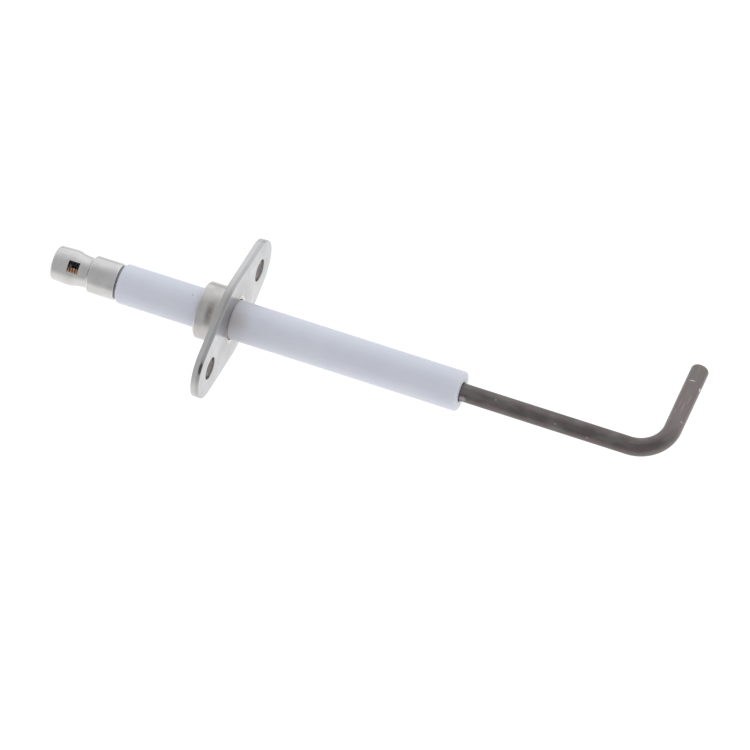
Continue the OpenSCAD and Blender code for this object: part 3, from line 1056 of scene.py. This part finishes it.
# The thread: a ridge of diamond section wound round the stud or round the terminal's bore,
# half of it sunk in the wall that it stands on.
thread, given, result = geometry_tree("screw_thread", {
    "Length": ("Float", 12 * mm), "Pitch": ("Float", 0.5 * mm), "Wall Radius": ("Float", 1.2 * mm),
    "Ridge Height": ("Float", 0.24 * mm), "Points per Turn": ("Int", 48), "Material": ("Material", None)})
winding = put(thread, "GeometryNodeCurveSpiral",
              {"Resolution": given["Points per Turn"],
               "Rotations": maths(thread, "DIVIDE", given["Length"], given["Pitch"]),
               "Start Radius": given["Wall Radius"], "End Radius": given["Wall Radius"],
               "Height": given["Length"]})
upright = put(thread, "GeometryNodeSetCurveNormal", {"Curve": winding.outputs[0]}, mode="Z_UP")
diamond = put(thread, "GeometryNodeCurvePrimitiveCircle",
              {"Resolution": 4, "Radius": given["Ridge Height"]}, mode="RADIUS")
ridge = put(thread, "GeometryNodeCurveToMesh",
            {"Curve": upright.outputs[0], "Profile Curve": diamond.outputs["Curve"], "Fill Caps": True})
along_x = put(thread, "GeometryNodeTransform",
              {"Geometry": ridge.outputs[0], "Rotation": (0, math.radians(90), 0)})
real = put(thread, "GeometryNodeRealizeInstances", {"Geometry": along_x.outputs[0]})
painted = put(thread, "GeometryNodeSetMaterial", {"Geometry": real.outputs[0], "Material": given["Material"]})
thread.links.new(painted.outputs[0], result["Geometry"])


def wind_thread(name, start, length, wall, material):
    """A thread's ridge from a place on the axis forward."""
    holder = bpy.data.objects.new(name, bpy.data.meshes.new(name))
    bpy.context.scene.collection.objects.link(holder)
    ridge_piece = grow_mesh(name, holder, thread,
                            {"Length": length, "Pitch": thread_pitch, "Wall Radius": wall,
                             "Ridge Height": ridge_height, "Points per Turn": turn_points,
                             "Material": material})
    ridge_piece.data.transform(Matrix.Translation((start, 0, 0)))
    return ridge_piece


def take_in(piece, part):
    """Adds a second mesh to a piece and removes the object that held it."""
    bm = bmesh.new()
    bm.from_mesh(piece.data)
    bm.from_mesh(part.data)
    bm.to_mesh(piece.data)
    bm.free()
    bpy.data.objects.remove(part)


thread_pitch = 0.5 * mm
ridge_height = 0.24 * mm
turn_points = 48
stud_root_r = 1.2 * mm
stud_end = rod_low.x
stud_chamfer = 0.3 * mm
stud_profile = [(stud_end, 0, 0, 0), (stud_end, stud_root_r - stud_chamfer, 0, 0),
                (stud_end + stud_chamfer, stud_root_r, 0, 0), (stud_x, stud_root_r, 0, 0),
                (stud_x, 0, 0, 0)]
stud = turned("rod_stud", stud_profile, 48, [alloy])
take_in(rod, stud)
thread_start = stud_end + stud_chamfer
take_in(rod, wind_thread("rod_thread", thread_start, stud_x - thread_start, stud_root_r, alloy))
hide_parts("sensing_rod")
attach(rod, "root")


# ---------------------------------------------------------------- cement inside the tube
# The same cement seals the rod in the tube's front mouth, a little below the end face, and
# fills the wider pocket at the rear round the thread.

thread_crest_r = 1.5 * mm
cement_ring("front_seal", "front_cement", rod_r, bore_r)
cement_ring("rear_filling", "rear_cement", thread_crest_r, pocket_r)


# ---------------------------------------------------------------- terminal washer
# Thin blued spring steel washer. The terminal is screwed down on it, so that it presses on
# the rear end of the tube.

blued_grey = (0.30, 0.295, 0.33, 1)
blued_straw = (0.40, 0.375, 0.385, 1)
washer_rub = (0.42, 0.40, 0.40, 1)


def blued_steel():
    """Blued steel: grey with straw and violet patches, rubbed bright in spots."""
    material, tree, shader = new_material("blued_steel", Metallic=0.9)
    place = in_millimetres(tree)
    tint = use_group(tree, uneven, place, Patch_Size=1.2, Low=0.35, High=0.65)["Mask"]
    rubbed = use_group(tree, specks, place, Spacing=0.5, Size=0.09, Share=0.2)["Mask"]
    colour = blend(tree, tint, blued_grey, blued_straw)
    colour = blend(tree, rubbed, colour, washer_rub)
    fine = noise_of(tree, place, 14.0, 4.0, 0.7)
    finish_shader(tree, shader, colour, raised(tree, 0.34, tint, 0.16), fine, distance=0.004 * mm)
    return material


washer_low, washer_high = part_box("terminal_washer")
washer_r = washer_high.z
washer_bore_r = 1.6 * mm
washer_edge = 0.08 * mm
washer_profile = (
    rounding(washer_low.x + washer_edge, washer_r - washer_edge, washer_edge, 180, 90, steps=3)
    + rounding(washer_high.x - washer_edge, washer_r - washer_edge, washer_edge, 90, 0, steps=3)
    + [(washer_high.x, washer_bore_r, 0, 0), (washer_low.x, washer_bore_r, 0, 0)])
washer = turned("spring_washer", washer_profile, 96, [blued_steel()], closed=True)
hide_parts("terminal_washer")
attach(washer, "root")


# ---------------------------------------------------------------- terminal
# Brass snap terminal, turned, drilled, tapped and nickel plated, screwed on the rod's
# thread. A slot milled in its head lets braze in to lock it.

cap_low, cap_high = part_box("terminal_cap")
cap_sides = 168
window_sides = 12
window_start = cap_low.x + 3.1 * mm
window_end = cap_low.x + 5.0 * mm
window_half = 1.0 * mm
window_turn = math.radians(90 + 33)
window_rings = 10
cap_bore_r = 1.5 * mm
spare_turns = 7
tapped_end = stud_end - spare_turns * thread_pitch
drill_tip = tapped_end - 0.9 * mm
shoulder_x = cap_low.x + 7.1 * mm
cap_blend = 0.11 * mm
cap_front_edge = 0.14 * mm
bore_mouth = 0.2 * mm
dimple_r = 0.45 * mm
dimple_depth = 0.05 * mm
head_corner = 0.7 * mm
head_corner_r = 2.4 * mm
rear_face_r = 2.35 * mm
rear_ring_r = 1.5 * mm
head_start = cap_low.x + 0.5 * mm
window_bevel = 0.06 * mm
shoulder_wear = 0.12 * mm


def cap_knots():
    """Corners of the terminal's outline, from its rear end: distance and radius in mm.

    The head swells a little to its full radius and is rounded down to the neck; the barrel
    follows after a short shoulder.
    """
    head_r, neck_r, barrel_r = 3.175, 2.75, 3.3
    knots = [(0.461, 3.058), (2.5, head_r)]
    round_x, round_r = 3.3, 3.2
    for i in range(1, 9):
        angle = math.radians(90 - 3 * i)
        knots.append((round_x + round_r * math.cos(angle), head_r - round_r + round_r * math.sin(angle)))
    return knots + [(5.8, neck_r), (6.6, neck_r), (7.1, barrel_r), (12.5, barrel_r)]


def cap_radius(along):
    """Radius of the terminal at a place, with its corners blended as the tool leaves them."""
    total = 0.0
    samples = 9
    for i in range(samples):
        place = (along - cap_low.x + cap_blend * (2 * i / (samples - 1) - 1)) / mm
        for (x0, r0), (x1, r1) in zip(cap_knots(), cap_knots()[1:]):
            if place <= x1:
                total += (r0 + (r1 - r0) * max(0.0, place - x0) / (x1 - x0)) * mm
                break
    return total / samples


def window_angles(radius):
    """Angles of a ring's points, with two of them on the parallel sides of the window."""
    half = math.asin(min(1.0, window_half / radius))
    rest = cap_sides - window_sides
    return ([window_turn - half + 2 * half * i / window_sides for i in range(window_sides)]
            + [window_turn + half + (2 * math.pi - 2 * half) * i / rest for i in range(rest)])


def stretch(start, end, count):
    """Profile points of the terminal from start towards end, without the last one."""
    places = [start + (end - start) * i / count for i in range(count)]
    return [(place, cap_radius(place), 0, 0) for place in places]


cap_front = cap_high.x
cap_lip = cap_radius(cap_front) - cap_front_edge
cap_profile = (
    [(cap_low.x + dimple_depth, 0, 0, 0), (cap_low.x + dimple_depth, dimple_r - 2 * dimple_depth, 0, 0),
     (cap_low.x, dimple_r, 0, 0), (cap_low.x, rear_ring_r, 0, 0), (cap_low.x, rear_face_r, 0, 0)]
    + rounding(cap_low.x + head_corner, head_corner_r, head_corner, 165, 112, steps=7)
    + stretch(head_start, window_start, 14)
    + stretch(window_start, window_end, window_rings)
    + stretch(window_end, cap_front - cap_front_edge, 60)
    + rounding(cap_front - cap_front_edge, cap_lip, cap_front_edge, 90, 0, steps=4)
    + [(cap_front, cap_bore_r + bore_mouth, 0, 0), (cap_front - bore_mouth, cap_bore_r, 0, 1)]
    + [(window_end + (window_start - window_end) * i / window_rings, cap_bore_r, 0, 1)
       for i in range(window_rings + 1)]
    + [(tapped_end, cap_bore_r, 0, 1), (drill_tip, 0, 0, 1)])

nickel_warm = (0.665, 0.648, 0.628, 1)
nickel_bright = (0.735, 0.725, 0.710, 1)
drag_brown = (0.56, 0.53, 0.49, 1)
worn_nickel = (0.84, 0.83, 0.81, 1)
pit_dark = (0.30, 0.27, 0.24, 1)
# The bore's grey is painted pale, as painted light in the shaded bore.
bore_lifted_grey = (0.80, 0.80, 0.83, 1)
bore_brown = (0.58, 0.56, 0.56, 1)


def terminal_plate():
    """Nickel on turned brass: bright satin, with fine rings and drag marks of the socket's clip."""
    material, tree, shader = new_material("terminal_nickel", Metallic=1.0)
    place = in_millimetres(tree)
    patches = use_group(tree, uneven, place, Patch_Size=2.0, Low=0.3, High=0.7)["Mask"]
    drags = use_group(tree, drawn_lines, stretched(tree, place, 1, 1, 1, 17.0),
                      Line_Length=4.5, Line_Width=0.2, Low=0.60, High=0.72)["Mask"]
    pits = use_group(tree, specks, place, Spacing=1.1, Size=0.07, Share=0.2)["Mask"]
    worn = use_group(tree, edge_wear, place, Raggedness=0.5)["Mask"]
    colour = blend(tree, patches, nickel_warm, nickel_bright)
    colour = laid_over(tree, colour, drags, 0.35, drag_brown)
    colour = laid_over(tree, colour, worn, 0.6, worn_nickel)
    colour = laid_over(tree, colour, pits, 0.25, pit_dark)
    roughness = raised(tree, raised(tree, 0.17, patches, 0.07), drags, 0.12)
    rings = maths(tree, "MULTIPLY", along_noise(tree, place, 8.0, 0.7), 0.0018)
    height = raised(tree, rings, noise_of(tree, place, 5.0, 3.0, 0.6), 0.0004)
    finish_shader(tree, shader, colour, roughness, height, strength=0.6)
    return material


def tapped_brass():
    """The tapped bore: pale grey, painted lighter than its metal as painted light in the shaded bore, browned
    with flux and cutting oil.
    """
    material, tree, shader = new_material("tapped_brass", Metallic=0.1)
    place = in_millimetres(tree)
    dirt = use_group(tree, uneven, place, Patch_Size=0.6, Low=0.3, High=0.65)["Mask"]
    finish_shader(tree, shader, blend(tree, dirt, bore_lifted_grey, bore_brown), raised(tree, 0.32, dirt, 0.35))
    return material


cap_nickel = terminal_plate()
bore_brass = tapped_brass()
cap = turned("snap_terminal", cap_profile, cap_sides, [cap_nickel, bore_brass], angles_at=window_angles)


def window_place(co):
    """A point's place across the window and its height towards the window's face."""
    across = co.y * math.sin(window_turn) - co.z * math.cos(window_turn)
    height = co.y * math.cos(window_turn) + co.z * math.sin(window_turn)
    return across, height


def in_window(co):
    """Whether a point is in the slot that the window's cutter leaves."""
    across, height = window_place(co)
    return window_start < co.x < window_end and abs(across) < window_half and height > 0


# The window: the faces over the slot are taken out, and walls join the outer rim to the bore.
cut = bmesh.new()
cut.from_mesh(cap.data)
edge_mark = cut.verts.layers.float["edge"]
slot_faces = [face for face in cut.faces if in_window(face.calc_center_median())]
bmesh.ops.delete(cut, geom=slot_faces, context="FACES")
open_edges = [edge for edge in cut.edges if len(edge.link_faces) == 1]
window_rim = {vertex for edge in open_edges for vertex in edge.verts
              if window_place(vertex.co)[1] > (cap_bore_r - cap_low.z) / 2}
walls = bmesh.ops.bridge_loops(cut, edges=open_edges)["faces"]
for face in walls:
    face.smooth = False
    face.material_index = 0
bmesh.ops.recalc_face_normals(cut, faces=cut.faces)
rim_edges = [edge for edge in cut.edges if edge.verts[0] in window_rim and edge.verts[1] in window_rim
             and any(face in walls for face in edge.link_faces)]
bmesh.ops.bevel(cut, geom=rim_edges, offset=window_bevel, segments=3, profile=0.5, affect="EDGES")
for vertex in cut.verts:
    if vertex.co.x < head_start and vertex.co.yz.length > head_corner_r:
        vertex[edge_mark] = 0.6
    if abs(vertex.co.x - shoulder_x) < shoulder_wear:
        vertex[edge_mark] = 0.8
cut.to_mesh(cap.data)
cut.free()
cap.data.set_sharp_from_angle(angle=math.radians(34))

# The bore's own thread, cut away under the window like its wall.
bore_thread_length = cap_front - tapped_end - 0.3 * mm
bore_thread = wind_thread("bore_thread", tapped_end, bore_thread_length, cap_bore_r, bore_brass)
slot_cut = bmesh.new()
slot_cut.from_mesh(bore_thread.data)
slot_faces = [face for face in slot_cut.faces if in_window(face.calc_center_median())]
bmesh.ops.delete(slot_cut, geom=slot_faces, context="FACES")
slot_cut.to_mesh(bore_thread.data)
slot_cut.free()
for polygon in bore_thread.data.polygons:
    polygon.material_index = 1
take_in(cap, bore_thread)
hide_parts("terminal_cap")
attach(cap, "root")


# ---------------------------------------------------------------- braze
# Copper-coloured braze run in through the window. It fills one side of the window and the
# bore below it, and its skin still shows the turns of the thread it flowed over.

hollow_copper = (0.30, 0.175, 0.105, 1)
crest_copper = (0.80, 0.52, 0.33, 1)
flux_black = (0.13, 0.075, 0.05, 1)


def braze_metal():
    """Braze: copper-brown, with bright crests and dark flux left in the hollows."""
    material, tree, shader = new_material("braze", Metallic=1.0)
    place = in_millimetres(tree)
    flux = use_group(tree, uneven, place, Patch_Size=0.45, Low=0.42, High=0.66)["Mask"]
    colour = blend(tree, stored(tree, "crest"), hollow_copper, crest_copper)
    colour = laid_over(tree, colour, flux, 0.55, flux_black)
    fine = noise_of(tree, place, 7.0, 4.0, 0.7)
    finish_shader(tree, shader, colour, raised(tree, 0.3, flux, 0.3), fine, strength=0.7, distance=0.02 * mm)
    return material


braze_low, braze_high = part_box("terminal_braze")
braze_top = 2.28 * mm
braze_side = -0.1 * mm
braze_r = 1.2 * mm
braze_edge = 0.16 * mm
rib_depth = 0.13 * mm
braze_steps = 48


def braze_section():
    """Points round the braze's section: (across, height, how much the ribs show there)."""
    points = []
    for i in range(13):
        t = i / 12
        across = -window_half + (braze_side - braze_edge + window_half) * t
        points.append((across, braze_top - 0.10 * mm * math.sin(math.pi * t), 1.0))
    for i in range(1, 7):
        angle = math.radians(90 - 15 * i)
        points.append((braze_side - braze_edge + braze_edge * math.cos(angle),
                       braze_top - braze_edge + braze_edge * math.sin(angle), 1.0))
    for i in range(1, 9):
        points.append((braze_side, braze_top - braze_edge - (braze_top - braze_edge) * i / 8, 0.6))
    start = math.degrees(math.acos(braze_side / braze_r))
    for i in range(13):
        angle = math.radians(360 - start + (start - 180) * i / 12)
        points.append((braze_r * math.cos(angle), braze_r * math.sin(angle), 0.0))
    points.append((-window_half, 0.0, 0.0))
    return points


lump = bmesh.new()
crest_mark = lump.verts.layers.float.new("crest")
rows = []
for i in range(braze_steps + 1):
    along = braze_low.x + (braze_high.x - braze_low.x) * i / braze_steps
    row = []
    for across, height, ribbed in braze_section():
        wave = 0.5 + 0.5 * math.cos(2 * math.pi * (along / thread_pitch + 0.25 * across / mm))
        lumpy = noise.noise(Vector((along * 1600, across * 2600, height * 2600)))
        dip = rib_depth * (1 - wave) * ribbed + 0.05 * mm * (0.5 + lumpy) * ribbed
        if height > braze_top - braze_edge:
            height -= dip
        elif height > 0:
            across -= dip * 0.5
        vertex = lump.verts.new((along,
                                 height * math.cos(window_turn) + across * math.sin(window_turn),
                                 height * math.sin(window_turn) - across * math.cos(window_turn)))
        vertex[crest_mark] = max(0.0, min(1.0, wave * ribbed + 0.4 * lumpy))
        row.append(vertex)
    rows.append(row)
for first, second in zip(rows, rows[1:]):
    for j in range(len(first)):
        k = (j + 1) % len(first)
        face = lump.faces.new([first[j], first[k], second[k], second[j]])
        face.smooth = True
lump.faces.new(rows[0])
lump.faces.new(list(reversed(rows[-1])))
bmesh.ops.recalc_face_normals(lump, faces=lump.faces)
braze = finish_mesh("braze_fill", lump, [braze_metal()], math.radians(60))
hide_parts("terminal_braze")
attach(braze, "root")
